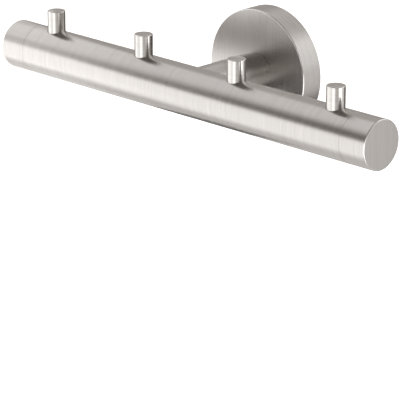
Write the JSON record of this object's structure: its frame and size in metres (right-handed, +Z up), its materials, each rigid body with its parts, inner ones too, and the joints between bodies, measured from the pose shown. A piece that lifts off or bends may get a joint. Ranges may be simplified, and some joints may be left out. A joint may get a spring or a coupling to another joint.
{
  "type": "wall hook rack",
  "caption": "Short round steel bar with upright cylindrical pegs, held off the wall by a single post on a round rosette.",
  "frame": {"origin": "centre of the wall plate's back face, on the wall and level with the bar's axis", "axes": "+X along the bar, to the right as seen from the room; +Y into the wall; +Z up, the way the pegs point"},
  "size_m": [0.214, 0.0627, 0.055],
  "materials": {
    "brushed_bar": "satin stainless steel, fine grain along and round the bar",
    "brushed_face": "satin stainless steel, straight vertical grain on the rosette's face",
    "turned_peg": "turned stainless steel, brighter, with fine rings round each peg",
    "plated_steel": "dull zinc plating on the hidden wall plate and anchors",
    "fastener_steel": "plain stainless fasteners",
    "ring_rubber": "black rubber ring"
  },
  "bodies": {
    "root": {"bar_tube": "brushed_bar", "end_cap_left": "brushed_bar", "end_cap_right": "brushed_bar", "cap_ring_left": "ring_rubber", "cap_ring_right": "ring_rubber", "peg_1": "turned_peg", "peg_2": "turned_peg", "peg_3": "turned_peg", "peg_4": "turned_peg", "peg_anchor_1": "plated_steel", "peg_anchor_2": "plated_steel", "peg_anchor_3": "plated_steel", "peg_anchor_4": "plated_steel", "post": "brushed_bar", "rosette_cover": "brushed_face", "wall_plate": "plated_steel", "tie_bolt": "fastener_steel", "tie_washer": "fastener_steel", "tie_anchor": "plated_steel", "locating_pin": "fastener_steel", "set_screw": "fastener_steel"}
  },
  "joints": []
}
